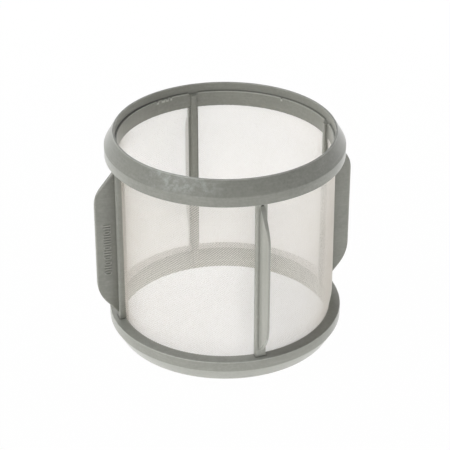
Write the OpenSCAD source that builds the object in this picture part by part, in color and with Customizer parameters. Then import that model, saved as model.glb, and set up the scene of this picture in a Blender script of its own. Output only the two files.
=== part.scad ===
// Fine filter of a dishwasher: a moulded frame with a tube of woven mesh cast into it.
// Millimetres. Z runs up the filter's axis from its foot, and the four ribs stand on X and Y.

/* [Screen] */
// Outer diameter of the mesh tube, which every ring and rib follows
mesh_d = 90.9; // [80:0.1:110]
// Thickness of the woven mesh
mesh_t = 0.35; // [0.25:0.05:0.5]
// Depth of mesh that is cast into each ring
seat_d = 2.5; // [1.5:0.1:4]
// Space between the mesh and the plastic round it
mesh_fit = 0; // [0:0.02:0.1]
// Openings of the mesh between two ribs
slots = 30; // [12:1:30]
// Width of one opening of the mesh
slot_w = 1.3; // [0.8:0.1:1.4]
// Plain strip of mesh beside each rib and ring
mesh_margin = 0.5; // [0.3:0.1:2]

/* [Rings] */
// Height of the whole filter
total_h = 92.8; // [75:0.1:130]
// How far each ring stands out from the mesh
ledge_w = 4.55; // [3.5:0.05:7]
// Height of the upright band round each ring
band_h = 4.35; // [3:0.05:6]
// Height of the slope between band and lip
bevel_h = 6; // [5:0.1:8]
// How far the lip stands out from the mesh
lip_out = 1; // [0.8:0.05:2]
// Thickness of the lip
lip_w = 0.85; // [0.6:0.05:1.2]
// Depth from the lip to the ledge inside it
ledge_d = 3.7; // [2.5:0.1:4.5]
// Plastic that covers the mesh inside each ring
cover_w = 0.5; // [0.4:0.05:1]
// Slope on the lower ring's inner edge, across
lead_w = 0.4; // [0.2:0.05:0.4]
// Slope on the lower ring's inner edge, along
lead_h = 2.4; // [1:0.1:3]

/* [Ribs] */
// Width of a rib outside the mesh
rib_w = 4.4; // [3.5:0.1:7]
// How far a rib stands out from the mesh
rib_out = 2.3; // [1.5:0.1:3]
// Rounding of a rib's outer corners
rib_r = 0.6; // [0.2:0.1:1]
// Width of the strip that backs a rib inside the mesh
strip_w = 2.3; // [1.5:0.1:3.5]
// How far the strip stands in from the ring's bore
strip_in = 1; // [0.5:0.1:2]
// Width of the gate pocket above each rib
pocket_w = 3.6; // [2:0.1:5]
// Depth of the gate pocket
pocket_d = 0.7; // [0.3:0.1:1.5]
// Size of the small pit between a wing and the upper ring
pit_w = 1.4; // [0.8:0.1:2]

/* [Wings] */
// How far a wing stands out from its rib
wing_out = 8.85; // [6:0.05:14]
// Thickness of a wing at its rib
wing_root_t = 1.9; // [1.4:0.1:2.6]
// Thickness of a wing at its outer edge
wing_tip_t = 1; // [0.8:0.1:2]
// Gap from the lower ring to the wing's foot
wing_foot_gap = 2.9; // [1:0.1:8]
// Gap from the upper ring to the wing's top
wing_top_gap = 2.1; // [1:0.1:8]
// Slope of the wing's two ends, from level
wing_slope = 49; // [35:1:60]
// Radius where the upper slope turns into the outer edge
wing_top_r = 12; // [4:0.5:16]
// Radius where the lower slope turns into the outer edge
wing_foot_r = 17; // [4:0.5:20]

/* [Hidden] */
$fn = 180;
RIBS = 4;
FRAME_COLOUR = [0.56, 0.56, 0.53];
SCREEN_COLOUR = [0.93, 0.92, 0.9];
overlap = 1;
mesh_r = mesh_d / 2;
mesh_in_r = mesh_r - mesh_t;
bore_r = mesh_in_r - mesh_fit - cover_w;
ring_r = mesh_r + ledge_w;
lip_r = mesh_r + lip_out;
ring_h = bevel_h + band_h;
rib_face_r = mesh_r + rib_out;
strip_r = bore_r - strip_in;
wing_r = rib_face_r + wing_out;
wing_foot_z = ring_h + wing_foot_gap;
wing_top_z = total_h - ring_h - wing_top_gap;
screen_z = ring_h - seat_d;
screen_h = total_h - 2 * screen_z;

module at_each_rib() {
    for (i = [0 : RIBS - 1])
        rotate([0, 0, i * 360 / RIBS])
            children();
}

// A tube about Z, from z0 up.
module tube(r_in, r_out, z0, h) {
    rotate_extrude()
        translate([r_in, z0])
            square([r_out - r_in, h]);
}

// One ring with its lip down. lead slopes the edge of its bore where the mesh enters.
module ring(lead) {
    lead_x = lead ? lead_w : 0;
    lead_y = lead ? lead_h : 0;
    rotate_extrude()
        polygon([
            [lip_r - lip_w, 0],
            [lip_r, 0],
            [ring_r, bevel_h],
            [ring_r, ring_h],
            [bore_r + lead_x, ring_h],
            [bore_r, ring_h - lead_y],
            [bore_r, ledge_d],
            [lip_r - lip_w, ledge_d]
        ]);
}

// Section of a rib outside the mesh, along X, with its outer corners rounded.
module rib_section() {
    translate([mesh_in_r, -rib_w / 2])
        square([rib_face_r - rib_r - mesh_in_r, rib_w]);
    translate([mesh_in_r, rib_r - rib_w / 2])
        square([rib_face_r - mesh_in_r, rib_w - 2 * rib_r]);
    for (side = [-1, 1])
        translate([rib_face_r - rib_r, side * (rib_w / 2 - rib_r)])
            circle(rib_r);
}

// A rib between the rings, and the strip that backs it from ledge to ledge.
module rib() {
    translate([0, 0, ring_h - overlap])
        linear_extrude(total_h - 2 * ring_h + 2 * overlap)
            rib_section();
    translate([strip_r, -strip_w / 2, ledge_d])
        cube([mesh_in_r + mesh_t / 2 - strip_r, strip_w, total_h - 2 * ledge_d]);
}

// Half of the wing's outline, up to mid_z, for a slope that starts at start_z on the rib.
// end is 1 for the upper end and -1 for the lower.
module wing_end(start_z, r, end, mid_z) {
    turn = 90 - wing_slope;
    centre_x = wing_r - r;
    centre_z = start_z - end * (r + cos(turn) * (centre_x - rib_face_r)) / sin(turn);
    root_z = start_z + end * overlap * tan(wing_slope);
    polygon([
        [rib_face_r - overlap, mid_z],
        [wing_r, mid_z],
        [wing_r, centre_z],
        [centre_x + r * cos(turn), centre_z + end * r * sin(turn)],
        [rib_face_r - overlap, root_z]
    ]);
    intersection() {
        translate([centre_x, centre_z])
            circle(r);
        translate([rib_face_r - overlap, min(mid_z, centre_z - r)])
            square([wing_out + 2 * overlap, abs(mid_z - centre_z) + 2 * r]);
    }
}

// A flat wing on the rib at +X, thinner towards its outer edge.
module wing() {
    mid_z = (wing_foot_z + wing_top_z) / 2;
    intersection() {
        rotate([90, 0, 0])
            translate([0, 0, -wing_root_t])
                linear_extrude(2 * wing_root_t) {
                    wing_end(wing_foot_z, wing_foot_r, -1, mid_z);
                    wing_end(wing_top_z, wing_top_r, 1, mid_z);
                }
        linear_extrude(total_h)
            polygon([
                [rib_face_r - overlap, -wing_root_t / 2],
                [wing_r + overlap, -wing_tip_t / 2],
                [wing_r + overlap, wing_tip_t / 2],
                [rib_face_r - overlap, wing_root_t / 2]
            ]);
    }
}

// What the mould leaves open above a rib: a pocket in the ledge and a pit above the wing.
module gate_marks() {
    translate([strip_r - overlap, -pocket_w / 2, total_h - ledge_d - pocket_d])
        cube([lip_r - lip_w - strip_r + overlap, pocket_w, pocket_d + overlap]);
    translate([rib_face_r - pit_w / 2, -pit_w / 2, total_h - ring_h - pit_w])
        cube([pit_w, pit_w, pit_w]);
}

module frame() {
    color(FRAME_COLOUR)
        difference() {
            union() {
                ring(true);
                translate([0, 0, total_h])
                    mirror([0, 0, 1])
                        ring(false);
                at_each_rib() {
                    rib();
                    wing();
                }
            }
            at_each_rib()
                gate_marks();
            tube(mesh_in_r - mesh_fit, mesh_r + mesh_fit, screen_z - mesh_fit, screen_h + 2 * mesh_fit);
        }
}

// The openings of the weave, drawn as upright slots between the ribs.
module mesh_openings() {
    post_angle = asin((rib_w / 2 + mesh_margin) / mesh_r);
    pitch = (360 / RIBS - 2 * post_angle) / slots;
    at_each_rib()
        for (i = [0 : slots - 1])
            rotate([0, 0, post_angle + (i + 0.5) * pitch])
                translate([mesh_in_r - overlap, -slot_w / 2, ring_h + mesh_margin])
                    cube([mesh_t + 2 * overlap, slot_w, total_h - 2 * (ring_h + mesh_margin)]);
}

module screen() {
    color(SCREEN_COLOUR)
        difference() {
            tube(mesh_in_r, mesh_r, screen_z, screen_h);
            mesh_openings();
        }
}

frame();
screen();
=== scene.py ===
"""The looks of a dishwasher's fine filter: a moulded grey frame with a tube of woven mesh in it.

Metres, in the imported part's own frame: Z runs up the filter's axis and the ribs stand on X and Y.
"""

import math

import bmesh
import bpy
import numpy as np
from mathutils import Matrix, Vector, noise


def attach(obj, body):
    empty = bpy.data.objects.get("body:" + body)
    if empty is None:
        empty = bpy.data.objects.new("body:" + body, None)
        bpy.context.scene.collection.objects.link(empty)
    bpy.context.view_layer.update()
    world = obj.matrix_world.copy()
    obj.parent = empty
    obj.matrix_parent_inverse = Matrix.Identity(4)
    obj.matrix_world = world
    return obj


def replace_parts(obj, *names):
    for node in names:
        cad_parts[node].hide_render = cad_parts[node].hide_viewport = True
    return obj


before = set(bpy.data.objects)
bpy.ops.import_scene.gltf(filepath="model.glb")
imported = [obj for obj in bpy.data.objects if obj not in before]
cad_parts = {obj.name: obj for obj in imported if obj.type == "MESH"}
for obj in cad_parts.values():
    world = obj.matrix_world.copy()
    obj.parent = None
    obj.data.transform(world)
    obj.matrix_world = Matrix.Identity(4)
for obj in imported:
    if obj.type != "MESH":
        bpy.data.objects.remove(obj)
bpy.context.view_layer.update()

# ---- Sizes, as in the part's source ----
MM = 0.001
HEIGHT = 92.8 * MM
MESH_R = 45.45 * MM
MESH_T = 0.35 * MM
RING_R = 50 * MM
LIP_R = 46.45 * MM
LIP_W = 0.85 * MM
BORE_R = 44.6 * MM
BEVEL_H = 6 * MM
RING_H = 10.35 * MM
LEDGE_D = 3.7 * MM
LEAD_W = 0.4 * MM
LEAD_H = 2.4 * MM
RIBS = 4
RIB_W = 4.4 * MM
RIB_FACE_R = 47.75 * MM
RIB_ROUND = 0.6 * MM
STRIP_W = 2.3 * MM
STRIP_R = 43.6 * MM
POCKET_W = 3.6 * MM
POCKET_D = 0.7 * MM
PIT_W = 1.4 * MM
WING_R = 56.6 * MM
WING_ROOT_T = 1.9 * MM
WING_TIP_T = 1 * MM
WING_FOOT_Z = 13.25 * MM
WING_TOP_Z = 80.35 * MM
WING_SLOPE = math.radians(49)
WING_TOP_ROUND = 12 * MM
WING_FOOT_ROUND = 17 * MM

# ---- Sizes that only the looks have ----
COLUMNS = 720
EDGE_ROUND = 0.22 * MM
THREAD = 0.036 * MM
THREAD_LIFT = 0.018 * MM
THREAD_PITCH = 0.17 * MM
THREAD_BENDS = 22
BURIED = 0.6 * MM
TWILL_ROUND = 1.17 * MM
TWILL_UP = 1.02 * MM
TWILL_THREAD = 0.22 * MM
BULGE = 0.85 * MM
TUCK = 0.3 * MM
SCUFF_TURN = math.radians(-130)
# Turn of the front of the mesh, whose left and right edge get painted shade.
SHADE_TURN = math.radians(-18)
MARKS = ("ring", "bars", "ring", "ring", "bars", "ring", "bars", "bars", "ring", "bars")
MARK_FOOT = 33.3 * MM
MARK_STEP = 2.45 * MM
MARK_R = 51.7 * MM
MARK_HALF = 1.6 * MM
MARK_LINE = 0.5 * MM
MARK_BASE = 0.6 * MM
MARK_FACE = 1.1 * MM
BURR_TURN = 0.36
FLOOR_REACH = 3.0
FLOOR_GLOW = 1.3
# The flash on the upper ledge: each place's angle and width in degrees, and its length in mm.
FLASH = [(103.5, 0.5, 0.55), (106, 0.7, 0.8), (108.6, 1.2, 0.5), (112.5, 0.6, 0.9), (38.8, 0.5, 0.7)]

# ---- Camera, fitted to the two rings in the photograph ----
VIEW_TURN = math.radians(-108)
VIEW_RISE = math.radians(29.04)
VIEW_DISTANCE = 694 * MM
VIEW_TARGET = Vector((0.04, 0.12, 47.0)) * MM
VIEW_LENS = 130.6


def put(name, data):
    """A new object in the scene."""
    thing = bpy.data.objects.new(name, data)
    bpy.context.scene.collection.objects.link(thing)
    return thing


def make_camera():
    data = bpy.data.cameras.new("camera")
    data.lens = VIEW_LENS
    data.sensor_width = 36
    data.clip_start = 0.01
    data.clip_end = 20
    camera = put("camera", data)
    back = Vector((
        math.cos(VIEW_TURN) * math.cos(VIEW_RISE),
        math.sin(VIEW_TURN) * math.cos(VIEW_RISE),
        math.sin(VIEW_RISE),
    ))
    camera.location = VIEW_TARGET + back * VIEW_DISTANCE
    camera.rotation_euler = (-back).to_track_quat("-Z", "Y").to_euler()
    bpy.context.scene.camera = camera


# ---- Node trees ----
class Term:
    """A value in a node tree. Its operators add the Math nodes that they stand for."""

    def __init__(self, owner, socket):
        self.owner = owner
        self.socket = socket

    def _math(self, operation, *values):
        return self.owner.term("ShaderNodeMath", {"operation": operation}, values)

    def __add__(self, other):
        return self._math("ADD", self, other)

    def __sub__(self, other):
        return self._math("SUBTRACT", self, other)

    def __rsub__(self, other):
        return self._math("SUBTRACT", other, self)

    def __mul__(self, other):
        return self._math("MULTIPLY", self, other)

    def __truediv__(self, other):
        return self._math("DIVIDE", self, other)

    __radd__ = __add__

    def call(self, operation, *others):
        """A Math node of any other kind."""
        return self._math(operation, self, *others)

    def size(self):
        return self.call("ABSOLUTE")

    def least(self, other):
        return self.call("MINIMUM", other)

    def most(self, other):
        return self.call("MAXIMUM", other)

    def step(self, low, high):
        """0 at low, 1 at high, and smooth between them."""
        return self.owner.term(
            "ShaderNodeMapRange",
            {"interpolation_type": "SMOOTHSTEP"},
            {"Value": self, "From Min": low, "From Max": high},
        )

    def fade(self, low, high):
        """1 at low, 0 at high, and smooth between them."""
        return 1 - self.step(low, high)


class Tree:
    """A node tree that starts empty, with short ways to add to it."""

    def __init__(self, tree):
        self.tree = tree
        self.tree.nodes.clear()

    def node(self, kind, settings=None, inputs=()):
        """Adds a node. Its settings go first, then the values or links of its inputs."""
        made = self.tree.nodes.new(kind)
        for key, value in (settings or {}).items():
            setattr(made, key, value)
        pairs = inputs.items() if isinstance(inputs, dict) else enumerate(inputs)
        for key, value in pairs:
            self.feed(made.inputs[key], value)
        return made

    def feed(self, socket, value):
        if isinstance(value, Term):
            self.tree.links.new(value.socket, socket)
        else:
            socket.default_value = value

    def term(self, kind, settings=None, inputs=()):
        """Adds a node and returns its first output."""
        return Term(self, self.node(kind, settings, inputs).outputs[0])

    def parts(self, vector):
        split = self.node("ShaderNodeSeparateXYZ", inputs=[vector])
        return [Term(self, s) for s in split.outputs]

    def white_seen(self):
        """1 for a ray from the camera or a reflection, to which the surroundings are white."""
        path = self.node("ShaderNodeLightPath")
        seen = Term(self, path.outputs["Is Camera Ray"])
        for kind in ("Is Glossy Ray", "Is Transmission Ray"):
            seen = seen.most(Term(self, path.outputs[kind]))
        return seen


class Finish(Tree):
    """One material and its node tree."""

    def __init__(self, name):
        self.material = bpy.data.materials.new(name)
        self.material.use_nodes = True
        super().__init__(self.material.node_tree)
        self.out = self.node("ShaderNodeOutputMaterial")

    def place(self):
        """The point on the piece, in metres."""
        return Term(self, self.node("ShaderNodeTexCoord").outputs["Object"])

    def away(self, across, up):
        """How far a point is from a line that runs round the part."""
        return (across * across + up * up).call("SQRT")

    def noise(self, vector, scale, detail=2.0, roughness=0.5):
        settings = {"noise_dimensions": "3D"}
        inputs = {"Vector": vector, "Scale": scale, "Detail": detail, "Roughness": roughness}
        return self.term("ShaderNodeTexNoise", settings, inputs)

    def stretch(self, vector, scale):
        return self.term("ShaderNodeMapping", inputs={"Vector": vector, "Scale": scale})

    def mix(self, factor, low, high):
        node = self.node("ShaderNodeMix", {"data_type": "RGBA"})
        for key, value in (("Factor_Float", factor), ("A_Color", low), ("B_Color", high)):
            self.feed(next(s for s in node.inputs if s.identifier == key), value)
        return Term(self, next(s for s in node.outputs if s.identifier == "Result_Color"))

    def bump(self, height, distance):
        inputs = {"Height": height, "Distance": distance, "Strength": 1.0}
        return self.term("ShaderNodeBump", inputs=inputs)

    def principled(self, **inputs):
        """A Principled shader, with its inputs named by underscored words."""
        named = {key.replace("_", " "): value for key, value in inputs.items()}
        return self.term("ShaderNodeBsdfPrincipled", inputs=named)

    def end(self, shader):
        self.tree.links.new(shader.socket, self.out.inputs["Surface"])
        return self.material


def srgb(red, green, blue):
    """A colour as a picture shows it, 0 to 255, made linear."""
    parts = [c / 255 for c in (red, green, blue)]
    return tuple(c / 12.92 if c < 0.04045 else ((c + 0.055) / 1.055) ** 2.4 for c in parts) + (1,)


# ---- The frame's finish ----
class Spot:
    """Where a point of the frame is, in the terms that its wear and its painted light and shade follow."""

    def __init__(self, f):
        self.at = f.place()
        self.x, self.y, self.z = f.parts(self.at)
        self.radius = f.away(self.x, self.y)
        self.down = HEIGHT - self.z
        self.depth = self.z.least(self.down)
        self.along = self.x.size().most(self.y.size())
        self.across = self.x.size().least(self.y.size())
        self.out = self.along - RIB_FACE_R
        # The wings' height, clear of both rings.
        self.between = self.depth.step(RING_H + 1.2 * MM, RING_H + 1.8 * MM)


def edge_wear_and_highlight(f, s):
    """Patchy wear and a painted highlight on the lower band's upper edge and on both edges of each lip."""
    near = f.away(s.radius - RING_R, s.z - RING_H)
    for edge_r in (LIP_R, LIP_R - LIP_W):
        near = near.least(f.away(s.radius - edge_r, s.depth))
    return near.fade(0.1 * MM, 0.45 * MM) * (f.noise(s.at, 320, 4).step(0.25, 0.7) * 0.6 + 0.4)


def crease_shade(f, s):
    """Painted shade at the ends of the ribs, in the corner inside each lip and in the pits above the wings.
    """
    foot = f.away(s.out.most(s.across - RIB_W / 2), s.depth - RING_H)
    foot = foot.fade(0.1 * MM, 0.6 * MM) * s.along.step(MESH_R, MESH_R + 0.4 * MM)
    corner = f.away(s.radius - LIP_R + LIP_W, s.depth - LEDGE_D).fade(0.1 * MM, 0.5 * MM)
    corner = corner * s.across.step(POCKET_W / 2, POCKET_W / 2 + MM)
    pit = s.along.step(MESH_R + MM, MESH_R + 1.2 * MM)
    pit = pit * s.along.fade(RIB_FACE_R - 0.2 * MM, RIB_FACE_R - 0.1 * MM)
    pit = pit * s.across.fade(PIT_W / 2, PIT_W / 2 + 0.15 * MM)
    pit = pit * s.down.step(RING_H, RING_H + 0.2 * MM)
    pit = pit * s.down.fade(RING_H + 2.4 * MM, RING_H + 2.6 * MM)
    return foot.most(corner).most(pit)


def flash_and_edge_highlight(f, s):
    """The thin flash at the inner edge of each ledge, and a painted highlight along that edge."""
    # Painted highlight along the ledge's inner edge.
    lit_edge = f.away(s.radius - BORE_R, s.depth - LEDGE_D).fade(0.15 * MM, 0.45 * MM) * 0.8
    ragged = (BORE_R - s.radius).step(0.02 * MM, 0.12 * MM)
    ragged = ragged * (s.depth - LEDGE_D).size().fade(1.2 * MM, 1.6 * MM)
    return ragged.most(lit_edge) * s.across.step(STRIP_W / 2 + 0.2 * MM, STRIP_W / 2 + 0.5 * MM)


def wing_rim_highlight_and_root_shade(s):
    """A painted highlight on the rim and painted shade at the root of the two wings on X."""
    wing = s.x.size().step(RIB_FACE_R, RIB_FACE_R + 0.2 * MM) * s.across.fade(MM, 1.2 * MM) * s.between
    slope, rise = math.cos(WING_SLOPE), math.sin(WING_SLOPE)
    foot = (s.z - WING_FOOT_Z) * slope - s.out * rise
    top = (WING_TOP_Z - s.z) * slope - s.out * rise
    rim = foot.least(top).least(WING_R - s.along).fade(0.3 * MM, 0.8 * MM)
    return rim * wing, s.out.fade(0.0, 8 * MM) * wing


def rib_flanks_and_lit_face(s):
    """The flanks of each rib a little paler, and the face of the rib at -Y painted lighter still, as painted
    light.
    """
    rib = s.depth.step(RING_H, RING_H + 0.3 * MM) * s.across.fade(RIB_W / 2 + 0.1 * MM, RIB_W / 2 + 0.4 * MM)
    flank = s.along.step(MESH_R, MESH_R + 0.2 * MM)
    flank = flank * s.along.fade(RIB_FACE_R - 0.5 * MM, RIB_FACE_R - 0.3 * MM)
    face = (0 - s.y).step(RIB_FACE_R - 0.5 * MM, RIB_FACE_R - 0.2 * MM)
    return flank.most(face * 1.7) * rib


def scuffs_and_ledge_light(f, s):
    """A hazy scuffed patch on the upper bevel, and painted light on the top of the lower ring below it."""
    haze = f.noise(s.at, 330, 8, 0.75).step(0.4, 0.68)
    towards = (s.x * math.cos(SCUFF_TURN) + s.y * math.sin(SCUFF_TURN)) / s.radius
    rubbed = towards.step(math.cos(math.radians(24)), math.cos(math.radians(5)))
    rubbed = rubbed * s.z.step(HEIGHT - 7.5 * MM, HEIGHT - 4 * MM) * haze
    # Painted light on the top of the lower ring, on the side that the scuffs face.
    ledge_light = towards.step(0.3, 0.9) * (s.z - RING_H).size().fade(0.1 * MM, 0.4 * MM) * 0.65
    return rubbed.most(ledge_light * (haze * 0.5 + 0.5))


def mark_highlight(s):
    """The marks on the wing at -X, which stand out from its tapering face and get a painted highlight."""
    taper = (WING_ROOT_T - WING_TIP_T) / 2 / (WING_R - RIB_FACE_R)
    above_face = (s.radius - RIB_FACE_R) * taper - WING_ROOT_T / 2 - s.y
    marks = above_face.step(0.03 * MM, 0.12 * MM)
    return marks * (0 - s.x).step(RIB_FACE_R + 0.5 * MM, RIB_FACE_R + 0.8 * MM) * s.between


def frame_plastic():
    """Satin grey polypropylene: mottled, scuffed and worn pale on its edges, with painted highlights on its
    edges, the wings' rims and the marks, painted light inside the lips, on the lower ring, its top and the
    front rib, and painted shade in its creases and at the wings' roots.
    """
    f = Finish("frame_plastic")
    s = Spot(f)
    cloud = f.noise(s.at, 55, 5, 0.6)
    mottle = f.noise(s.at, 850, 3, 0.6)
    scuff = f.noise(f.stretch(s.at, (1, 1, 2.6)), 140, 6, 0.65).step(0.52, 0.78)
    streak = f.noise(f.stretch(s.at, (0.12, 0.12, 2.2)), 900, 3).step(0.5, 0.75)
    # Painted light: every face inside the lips' inner wall is painted paler.
    lit_inside_lip = s.radius.fade(LIP_R - LIP_W, LIP_R - LIP_W + 0.1 * MM)
    # Painted light: the whole lower ring is painted paler.
    lit_lower_ring = s.z.fade(RING_H - 0.2 * MM, RING_H + 0.2 * MM)
    # Painted highlight on the wings' rims, painted shade at their roots.
    rim, root = wing_rim_highlight_and_root_shade(s)
    colour = f.mix(cloud.step(0.3, 0.72), srgb(113, 114, 107), srgb(124, 125, 117))
    layers = [
        (mottle.step(0.3, 0.7), 0.5, (134, 135, 128)),
        (scuff, 0.25, (155, 156, 149)),
        # Wear on the edges, with a painted highlight there.
        (edge_wear_and_highlight(f, s), 0.62, (190, 191, 184)),
        # Paler rib flanks, and painted light on the face of the rib at -Y.
        (rib_flanks_and_lit_face(s), 0.15, (196, 197, 190)),
        (lit_inside_lip, 0.14, (200, 201, 190)),
        (lit_lower_ring, 0.1, (200, 201, 193)),
        (streak, 0.1, (186, 187, 180)),
        # Painted highlight on the rims of the wings on X.
        (rim, 0.3, (186, 187, 180)),
        # Painted shade at the roots of the wings on X.
        (root, 0.3, (88, 88, 82)),
        # Flash, and a painted highlight on the ledge's inner edge.
        (flash_and_edge_highlight(f, s), 0.7, (205, 206, 199)),
        # Scuffs, and painted light on the top of the lower ring.
        (scuffs_and_ledge_light(f, s), 0.5, (180, 185, 181)),
        # Painted highlight on the raised marks.
        (mark_highlight(s), 0.3, (176, 177, 170)),
        # Painted shade in the creases, at the ribs' ends and in the pits.
        (crease_shade(f, s), 0.6, (62, 62, 58)),
    ]
    for mask, amount, tint in layers:
        colour = f.mix(mask * amount, colour, srgb(*tint))
    grain = mottle * 0.65 + f.noise(s.at, 2600, 2) * 0.35
    return f.end(f.principled(
        Base_Color=colour,
        Roughness=0.28 + cloud * 0.1 + scuff * 0.1,
        Normal=f.bump(grain, 0.02 * MM),
        IOR=1.49,
        Coat_Weight=0.35,
        Coat_Roughness=0.28,
        Coat_IOR=1.5,
        Sheen_Weight=0.15,
        Sheen_Roughness=0.4,
    ))


def monofilament(name, pale, dull, glow):
    """Off-white thread that lets some light through, a little yellowed in patches, with painted shade on its
    front: darker to the left and at the right edge.
    """
    f = Finish(name)
    at = f.place()
    patch = f.noise(at, 38, 4, 0.6).step(0.3, 0.7)
    fleck = f.noise(at, 900, 2).step(0.35, 0.75)
    colour = f.mix(patch * 0.6 + fleck * 0.4, pale, dull)
    x, y, _ = f.parts(at)
    side = 0 - x * math.cos(SHADE_TURN) - y * math.sin(SHADE_TURN)
    front = x * math.sin(SHADE_TURN) - y * math.cos(SHADE_TURN)
    # Painted shade on the front of the mesh, darker to the left and at the right edge.
    painted_shade = side.step(-38 * MM, 20 * MM) * 0.32 + side.step(30 * MM, 45 * MM) * 0.4
    painted_shade = (painted_shade + (0 - side).step(38 * MM, 45 * MM) * 0.3) * front.step(-20 * MM, 2 * MM)
    colour = f.mix(painted_shade, colour, srgb(206, 201, 193))
    thread = f.principled(Base_Color=colour, Roughness=0.38 + fleck * 0.2, IOR=1.53)
    through = f.term("ShaderNodeBsdfTranslucent", inputs={"Color": colour})
    return f.end(f.term("ShaderNodeMixShader", inputs=[glow, thread, through]))


# ---- Meshes ----
def piece(name, mesh, material, sharp=35):
    """A finished piece of the part, in place, with smooth faces between its edges."""
    mesh.name = name
    mesh.materials.clear()
    mesh.materials.append(material)
    mesh.shade_smooth()
    mesh.set_sharp_from_angle(angle=math.radians(sharp))
    thing = put(name, mesh)
    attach(thing, "root")
    return thing


def rounded(corners, radii, steps=4):
    """A closed outline with each corner turned into an arc of its own radius."""
    points = []
    count = len(corners)
    for i, (corner, r) in enumerate(zip(corners, radii)):
        here = Vector(corner)
        before = (Vector(corners[i - 1]) - here).normalized()
        after = (Vector(corners[(i + 1) % count]) - here).normalized()
        half = before.angle(after) / 2
        if r <= 0:
            points.append(tuple(here))
            continue
        middle = (before + after).normalized()
        centre = here + middle * (r / math.sin(half))
        start = here + before * (r / math.tan(half)) - centre
        end = here + after * (r / math.tan(half)) - centre
        first = math.atan2(start.y, start.x)
        turn = (math.atan2(end.y, end.x) - first + math.pi) % (2 * math.pi) - math.pi
        for k in range(steps + 1):
            a = first + turn * k / steps
            points.append((centre.x + r * math.cos(a), centre.y + r * math.sin(a)))
    return points


def ring_outline(lead):
    """Section of a ring with its lip down. lead slopes the edge where the mesh goes in."""
    inner = [((BORE_R, RING_H), 0.12 * MM)]
    if lead:
        inner = [((BORE_R + LEAD_W, RING_H), 0.05 * MM), ((BORE_R, RING_H - LEAD_H), 0.3 * MM)]
    corners = [
        ((LIP_R - LIP_W, 0), EDGE_ROUND),
        ((LIP_R, 0), EDGE_ROUND),
        ((RING_R, BEVEL_H), EDGE_ROUND),
        ((RING_R, RING_H), EDGE_ROUND),
        *inner,
        ((BORE_R, LEDGE_D), 0.12 * MM),
        ((LIP_R - LIP_W, LEDGE_D), 0.1 * MM),
    ]
    return rounded([point for point, _ in corners], [radius for _, radius in corners])


def smooth_step(value, low, high):
    """0 at low, 1 at high, and smooth between them."""
    t = min(max((value - low) / (high - low), 0), 1)
    return t * t * (3 - 2 * t)


def near_point(r, z, edge_r, edge_z, reach):
    """1 close to a corner of the ring's section, and 0 from reach on."""
    return 1 - smooth_step(math.hypot(r - edge_r, z - edge_z), 0.3 * reach, reach)


def ring_mesh(upper):
    """One ring, revolved in fine columns so that its flash and pockets can be pressed in."""
    outline = ring_outline(not upper)
    made = bmesh.new()
    columns = []
    for i in range(COLUMNS):
        turn = 2 * math.pi * i / COLUMNS
        degrees = math.degrees(turn)
        spot = Vector((math.cos(turn), math.sin(turn), 0))
        rough = noise.noise(spot * 60) * 0.6 + noise.noise(spot * 160) * 0.4
        from_rib = abs((degrees + 45) % 90 - 45) * math.pi / 180 * BORE_R
        pocket = 1 - smooth_step(from_rib, POCKET_W / 2 - 0.3 * MM, POCKET_W / 2 + 0.5 * MM)
        flash = sum(
            length * MM * math.exp(-(((degrees - at) / width) ** 2)) for at, width, length in FLASH
        )
        column = []
        for r, z in outline:
            inner_edge = near_point(r, z, BORE_R, RING_H, 0.4 * MM)
            ledge_edge = near_point(r, z, BORE_R, LEDGE_D, 0.35 * MM)
            ledge = 1 if abs(z - LEDGE_D) < 0.15 * MM and r < LIP_R - LIP_W + 0.05 * MM else 0
            if upper:
                z += inner_edge * rough * 0.16 * MM
                z += ledge_edge * (flash * 0.9 + abs(rough) * 0.1 * MM)
                r -= ledge_edge * (flash * 0.35 + rough * 0.07 * MM)
                z += ledge * pocket * POCKET_D
                z = HEIGHT - z
            else:
                z += inner_edge * rough * 0.06 * MM
            column.append(made.verts.new((spot.x * r, spot.y * r, z)))
        columns.append(column)
    for here, there in zip(columns, columns[1:] + columns[:1]):
        for k in range(len(here)):
            n = (k + 1) % len(here)
            made.faces.new((here[k], there[k], there[n], here[n]))
    bmesh.ops.recalc_face_normals(made, faces=made.faces)
    mesh = bpy.data.meshes.new("ring")
    made.to_mesh(mesh)
    made.free()
    return mesh


def prism(outline, low, high, axis="Z"):
    """A closed outline drawn out along an axis, as a bmesh with its ends closed."""
    made = bmesh.new()
    ends = []
    for level in (low, high):
        points = [(a, b, level) if axis == "Z" else (a, level, b) for a, b in outline]
        ends.append([made.verts.new(p) for p in points])
    made.faces.new(ends[0])
    made.faces.new(ends[1])
    count = len(outline)
    for k in range(count):
        n = (k + 1) % count
        made.faces.new((ends[0][k], ends[0][n], ends[1][n], ends[1][k]))
    bmesh.ops.recalc_face_normals(made, faces=made.faces)
    return made


def add_to(target, source):
    """Moves one bmesh into another."""
    mesh = bpy.data.meshes.new("part")
    source.to_mesh(mesh)
    source.free()
    target.from_mesh(mesh)
    bpy.data.meshes.remove(mesh)


def wing_outline():
    """The wing in its own plane: radius and height, with its two sloped ends rounded off."""
    turn = math.pi / 2 - WING_SLOPE
    root = RIB_FACE_R - 0.8 * MM
    points = []
    for end, start, r in ((-1, WING_FOOT_Z, WING_FOOT_ROUND), (1, WING_TOP_Z, WING_TOP_ROUND)):
        centre_r = WING_R - r
        centre_z = start - end * (r + math.cos(turn) * (centre_r - RIB_FACE_R)) / math.sin(turn)
        arc = [
            (centre_r + r * math.cos(a), centre_z + end * r * math.sin(a))
            for a in np.linspace(0, turn, 14)
        ]
        corner = (root, start + end * (RIB_FACE_R - root) * math.tan(WING_SLOPE))
        points += [corner] + arc[::-1] if end < 0 else arc + [corner]
    return points


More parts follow.
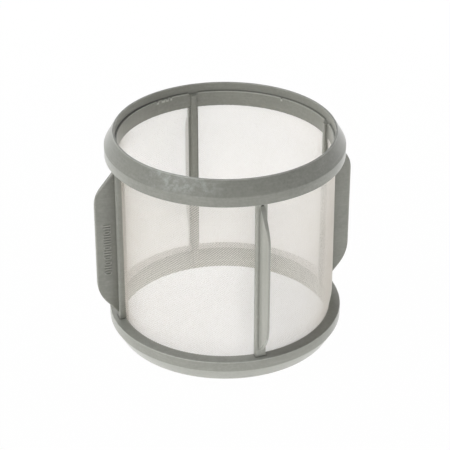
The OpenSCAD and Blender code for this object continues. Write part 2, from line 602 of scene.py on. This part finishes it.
def wing_mesh():
    """The wing at +X, thinner towards its outer edge and rounded along its rim."""
    made = prism(wing_outline(), -0.5, 0.5, axis="Y")
    for vert in made.verts:
        share = (vert.co.x - RIB_FACE_R) / (WING_R - RIB_FACE_R)
        vert.co.y *= WING_ROOT_T + (WING_TIP_T - WING_ROOT_T) * share
    rim = [
        e for e in made.edges
        if abs(abs(e.calc_face_angle(0)) - math.pi / 2) < 0.2
        and min(v.co.x for v in e.verts) > RIB_FACE_R - 0.9 * MM
        and abs(e.verts[0].co.y - e.verts[1].co.y) < 0.2 * MM
    ]
    bmesh.ops.bevel(made, geom=rim, offset=0.28 * MM, segments=3, profile=0.5, affect="EDGES")
    return made


def rib_meshes():
    """The rib at +X: its body outside the mesh and the strip that backs it inside."""
    body = rounded(
        [
            (MESH_R - MESH_T, -RIB_W / 2),
            (RIB_FACE_R, -RIB_W / 2),
            (RIB_FACE_R, RIB_W / 2),
            (MESH_R - MESH_T, RIB_W / 2),
        ],
        [0, RIB_ROUND, RIB_ROUND, 0],
        6,
    )
    strip = rounded(
        [
            (STRIP_R, -STRIP_W / 2),
            (MESH_R, -STRIP_W / 2),
            (MESH_R, STRIP_W / 2),
            (STRIP_R, STRIP_W / 2),
        ],
        [0.35 * MM, 0, 0, 0.35 * MM],
    )
    top = HEIGHT - LEDGE_D - POCKET_D
    return [prism(body, RING_H - MM, HEIGHT - RING_H + MM), prism(strip, LEDGE_D, top)]


def half_ring(r, z, side):
    """One half of a flat, oval ring."""
    turns = [side * math.pi * k / 12 for k in range(13)]
    half_z = 0.95 * MM
    outer = [(r + MARK_HALF * math.cos(a), z + half_z * math.sin(a)) for a in turns]
    inner = [
        (r + (MARK_HALF - MARK_LINE) * math.cos(a), z + (half_z - MARK_LINE) * math.sin(a))
        for a in turns
    ]
    return outer + inner[::-1]


def long_bar(r, z, half_r, half_z):
    """A bar along the wing's radius, with round ends."""
    signs = ((-1, -1), (1, -1), (1, 1), (-1, 1))
    corners = [(r + across * half_r, z + up * half_z) for across, up in signs]
    return rounded(corners, [0.25 * MM] * 4)


def mark_meshes():
    """A plain row of raised rings and bars on the face of a wing, for its marking."""
    made = bmesh.new()
    for i, kind in enumerate(MARKS):
        z = MARK_FOOT + i * MARK_STEP
        if kind == "ring":
            outlines = [half_ring(MARK_R, z, side) for side in (1, -1)]
        else:
            outlines = [long_bar(MARK_R, z + up * MM, MARK_HALF, 0.28 * MM) for up in (-0.6, 0.6)]
        for outline in outlines:
            bar = prism(outline, 0, 1, axis="Y")
            for vert in bar.verts:
                vert.co.y = -MARK_BASE if vert.co.y < 0.5 else -MARK_FACE
            bmesh.ops.recalc_face_normals(bar, faces=bar.faces)
            add_to(made, bar)
    return made


def cut(mesh, cutters):
    """Takes the cutters out of a mesh with an exact boolean and returns the new mesh."""
    body = put("body", mesh)
    tool_mesh = bpy.data.meshes.new("tool")
    cutters.to_mesh(tool_mesh)
    cutters.free()
    tool = put("tool", tool_mesh)
    step = body.modifiers.new("cut", "BOOLEAN")
    step.operation = "DIFFERENCE"
    step.solver = "EXACT"
    step.object = tool
    graph = bpy.context.evaluated_depsgraph_get()
    result = bpy.data.meshes.new_from_object(body.evaluated_get(graph))
    for thing in (body, tool):
        bpy.data.objects.remove(thing)
    return result


def burr_mesh():
    """A small burr that the mould left low on the front wing's outer edge."""
    reach = WING_FOOT_ROUND + 0.3 * MM
    slope = math.pi / 2 - WING_SLOPE
    centre_r = WING_R - WING_FOOT_ROUND
    run = WING_FOOT_ROUND + math.cos(slope) * (centre_r - RIB_FACE_R)
    centre_z = WING_FOOT_Z + run / math.sin(slope)
    place = Vector((centre_r + reach * math.cos(BURR_TURN), 0, centre_z - reach * math.sin(BURR_TURN)))
    made = bmesh.new()
    bmesh.ops.create_cone(
        made, cap_ends=True, segments=10, radius1=0.34 * MM, radius2=0.12 * MM, depth=0.9 * MM,
        matrix=Matrix.Translation(place) @ Matrix.Rotation(math.pi / 2 + BURR_TURN, 4, "Y"),
    )
    bmesh.ops.rotate(made, matrix=Matrix.Rotation(-math.pi / 2, 3, "Z"), verts=made.verts)
    return made


def make_frame(material):
    """Both rings, four ribs with their wings, the marks and the burr, as one moulding."""
    body, strip = rib_meshes()
    body_mesh = bpy.data.meshes.new("rib")
    body.to_mesh(body_mesh)
    pit = bmesh.new()
    bmesh.ops.create_cone(
        pit, cap_ends=True, segments=20, radius1=PIT_W / 2, radius2=PIT_W / 2, depth=PIT_W,
        matrix=Matrix.Translation((RIB_FACE_R, 0, HEIGHT - RING_H - PIT_W / 2 - 1.1 * MM))
        @ Matrix.Rotation(math.pi / 2, 4, "Y"),
    )
    body_mesh = cut(body_mesh, pit)
    whole = bmesh.new()
    for upper in (False, True):
        whole.from_mesh(ring_mesh(upper))
    quarter = bmesh.new()
    quarter.from_mesh(body_mesh)
    add_to(quarter, strip)
    add_to(quarter, wing_mesh())
    quarter_mesh = bpy.data.meshes.new("quarter")
    quarter.to_mesh(quarter_mesh)
    for i in range(RIBS):
        turned = quarter_mesh.copy()
        turned.transform(Matrix.Rotation(i * 2 * math.pi / RIBS, 4, "Z"))
        whole.from_mesh(turned)
    marks = mark_meshes()
    marks.transform(Matrix.Rotation(math.pi, 4, "Z"))
    bmesh.ops.transform(marks, matrix=Matrix.Scale(-1, 4, (0, 1, 0)), verts=marks.verts)
    bmesh.ops.reverse_faces(marks, faces=marks.faces)
    add_to(whole, marks)
    add_to(whole, burr_mesh())
    mesh = bpy.data.meshes.new("frame_moulding")
    whole.to_mesh(mesh)
    moulding = piece("frame_moulding", mesh, material)
    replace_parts(moulding, "frame")


# ---- The weave, as a Geometry Nodes tree ----
class Plan(Tree):
    """One Geometry Nodes tree with named inputs."""

    def __init__(self, name, inputs):
        super().__init__(bpy.data.node_groups.new(name, "GeometryNodeTree"))
        self.tree.interface.new_socket("Geometry", in_out="OUTPUT", socket_type="NodeSocketGeometry")
        self.names = {}
        for kind, labels in inputs.items():
            for label in labels:
                socket = self.tree.interface.new_socket(label, in_out="INPUT", socket_type=kind)
                self.names[label] = socket.identifier
        self.given = self.node("NodeGroupInput")
        self.out = self.node("NodeGroupOutput")

    def value(self, label):
        return Term(self, self.given.outputs[label])

    def run(self, values):
        """Runs the tree on an empty object and returns the mesh that it makes."""
        holder = put("holder", bpy.data.meshes.new("holder"))
        step = holder.modifiers.new("plan", "NODES")
        step.node_group = self.tree
        for label, value in values.items():
            step[self.names[label]] = value
        graph = bpy.context.evaluated_depsgraph_get()
        mesh = bpy.data.meshes.new_from_object(holder.evaluated_get(graph))
        holder.modifiers.clear()
        bpy.data.objects.remove(holder)
        return mesh


def weave_plan():
    """Two layers of crossing threads on a bulging wall: upright ones inside, level ones outside."""
    plan = Plan("woven_screen", {
        "NodeSocketFloat": (
            "Radius", "Start", "Sweep", "Bottom", "Height", "Twist", "Thread", "Lift", "Bulge", "Tuck",
        ),
        "NodeSocketInt": ("Upright threads", "Level threads", "Bends"),
        "NodeSocketMaterial": ("Material",),
    })
    sweep, height, bends = plan.value("Sweep"), plan.value("Height"), plan.value("Bends")
    bulge, tuck = plan.value("Bulge"), plan.value("Tuck")
    x, y, _ = plan.parts(plan.term("GeometryNodeInputPosition"))
    angle = x + y / height * plan.value("Twist") + plan.value("Start") + sweep / 2
    from_rib = angle.call("PINGPONG", math.pi / RIBS)
    full = (height / 2 - y.size()).step(0.0, 9 * MM)
    slack = bulge * (0.75 - y / height * 0.5) * from_rib.step(math.radians(2), math.radians(13))
    wall = plan.value("Radius") + full * (slack + tuck) - tuck
    ends = plan.node("GeometryNodeInputMeshEdgeVertices")
    gap = plan.term("ShaderNodeVectorMath", {"operation": "SUBTRACT"}, [
        Term(plan, ends.outputs["Position 1"]), Term(plan, ends.outputs["Position 2"]),
    ])
    level_edge = plan.parts(gap)[0].size().call("GREATER_THAN", 1e-7)
    profile = plan.term("GeometryNodeCurvePrimitiveCircle", {"mode": "RADIUS"}, {
        "Resolution": 3, "Radius": plan.value("Thread") / 2,
    })
    join = plan.node("GeometryNodeJoinGeometry")
    sets = (
        (plan.value("Upright threads"), bends, level_edge, plan.value("Lift") * -1),
        (bends, plan.value("Level threads"), 1 - level_edge, plan.value("Lift")),
    )
    for columns, rows, dropped, lift in sets:
        grid = plan.term("GeometryNodeMeshGrid", inputs={
            "Size X": sweep, "Size Y": height, "Vertices X": columns, "Vertices Y": rows,
        })
        lines = plan.term("GeometryNodeDeleteGeometry", {"domain": "EDGE", "mode": "EDGE_FACE"}, {
            "Geometry": grid, "Selection": dropped,
        })
        radius = wall + lift
        bent = plan.term("ShaderNodeCombineXYZ", inputs=[
            radius * angle.call("COSINE"),
            radius * angle.call("SINE"),
            y + plan.value("Bottom") + height / 2,
        ])
        moved = plan.term("GeometryNodeSetPosition", inputs={"Geometry": lines, "Position": bent})
        curves = plan.term("GeometryNodeMeshToCurve", inputs={"Mesh": moved})
        threads = plan.term("GeometryNodeCurveToMesh", inputs={
            "Curve": curves, "Profile Curve": profile, "Fill Caps": True,
        })
        plan.tree.links.new(threads.socket, join.inputs[0])
    real = plan.term("GeometryNodeRealizeInstances", inputs=[Term(plan, join.outputs[0])])
    done = plan.term("GeometryNodeSetMaterial", inputs={
        "Geometry": real, "Material": plan.value("Material"),
    })
    plan.tree.links.new(done.socket, plan.out.inputs[0])
    return plan


def make_screen():
    """The fine weave of each bay, and the diagonal lines that its twill draws round the tube."""
    plan = weave_plan()
    quarter = 2 * math.pi / RIBS
    hidden = math.asin((RIB_W / 2 - BURIED) / MESH_R)
    sweep = quarter - 2 * hidden
    height = HEIGHT - 2 * RING_H + 2 * BURIED
    weave = monofilament("screen_mesh", srgb(244, 242, 240), srgb(237, 235, 231), 0.35)
    shared = {"Bottom": RING_H - BURIED, "Height": height, "Bulge": BULGE, "Tuck": TUCK}
    for i in range(RIBS):
        mesh = plan.run(shared | {
            "Radius": MESH_R - MESH_T / 2,
            "Start": i * quarter + hidden,
            "Sweep": sweep,
            "Upright threads": round(sweep * MESH_R / THREAD_PITCH) + 1,
            "Level threads": round(height / THREAD_PITCH) + 1,
            "Bends": THREAD_BENDS,
            "Twist": 0.0,
            "Thread": THREAD,
            "Lift": THREAD_LIFT,
            "Material": weave,
        })
        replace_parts(piece(f"screen_weave_{i + 1}", mesh, weave, 90), "screen")
    lines = round(2 * math.pi * MESH_R / TWILL_ROUND)
    pale = monofilament("screen_twill", srgb(251, 249, 247), srgb(246, 244, 240), 0.4)
    mesh = plan.run(shared | {
        "Radius": MESH_R - MESH_T / 2 + THREAD_LIFT + TWILL_THREAD / 2,
        "Start": 0.0,
        "Sweep": 2 * math.pi * (1 - 1 / lines),
        "Upright threads": lines,
        "Level threads": 0,
        "Bends": 2 * THREAD_BENDS,
        "Twist": height / TWILL_UP * 2 * math.pi / lines,
        "Thread": TWILL_THREAD,
        "Lift": 0.0,
        "Material": pale,
    })
    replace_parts(piece("screen_twill", mesh, pale, 90), "screen")


# ---- Floor and light ----
def floor_finish():
    """Pale floor: white to the camera and to reflections, and it keeps the object's shadow."""
    f = Finish("floor")
    matt = f.term("ShaderNodeBsdfDiffuse", inputs={"Color": (0.82, 0.82, 0.81, 1)})
    white = f.term("ShaderNodeEmission", inputs={"Color": (1, 1, 1, 1), "Strength": 1.0})
    glow = f.term("ShaderNodeEmission", inputs={"Color": (1, 1, 0.98, 1), "Strength": FLOOR_GLOW})
    lit = f.term("ShaderNodeAddShader", inputs=[matt, glow])
    shown = f.term("ShaderNodeMixShader", inputs=[0.99, matt, white])
    return f.end(f.term("ShaderNodeMixShader", inputs=[f.white_seen(), lit, shown]))


def make_stage():
    """The floor, and a room that is white where it is seen and gives no light."""
    mesh = bpy.data.meshes.new("floor")
    corners = [(x * FLOOR_REACH, y * FLOOR_REACH, 0) for x, y in ((-1, -1), (1, -1), (1, 1), (-1, 1))]
    mesh.from_pydata(corners, [], [(0, 1, 2, 3)])
    floor = put("floor", mesh)
    mesh.materials.append(floor_finish())
    world = bpy.data.worlds.new("room")
    bpy.context.scene.world = world
    world.use_nodes = True
    room = Tree(world.node_tree)
    light = room.term("ShaderNodeBackground", inputs={"Color": (1, 1, 1, 1), "Strength": room.white_seen()})
    room.node("ShaderNodeOutputWorld", inputs={"Surface": light})


# Each lamp: its name, place, size and power. They all face the middle of the filter, and the
# low ones stay out of reflections.
LAMPS = [
    ("top_left", (-0.6, -0.15, 0.9), 0.5, 4.7),
    ("left", (-0.9, -0.35, 0.25), 0.7, 0.4),
    ("low_left", (-0.55, -0.1, 0.1), 0.3, 0.95),
    ("low_right", (0.45, -0.45, 0.04), 0.3, 1.4),
    ("low_back", (0.0, 0.6, 0.12), 0.5, 2.9),
    ("low_back_right", (0.4, 0.4, 0.1), 0.3, 1.7),
]


def make_lamps():
    for name, place, size, power in LAMPS:
        data = bpy.data.lights.new(name, "AREA")
        data.shape = "DISK"
        data.size = size
        data.energy = power
        lamp = put(name, data)
        lamp.location = place
        lamp.visible_glossy = not name.startswith("low")
        away = Vector(place) - Vector((0, 0, HEIGHT / 2))
        lamp.rotation_euler = away.to_track_quat("Z", "Y").to_euler()


make_camera()
make_frame(frame_plastic())
make_screen()
make_stage()
make_lamps()
bpy.context.scene.view_settings.view_transform = "Standard"
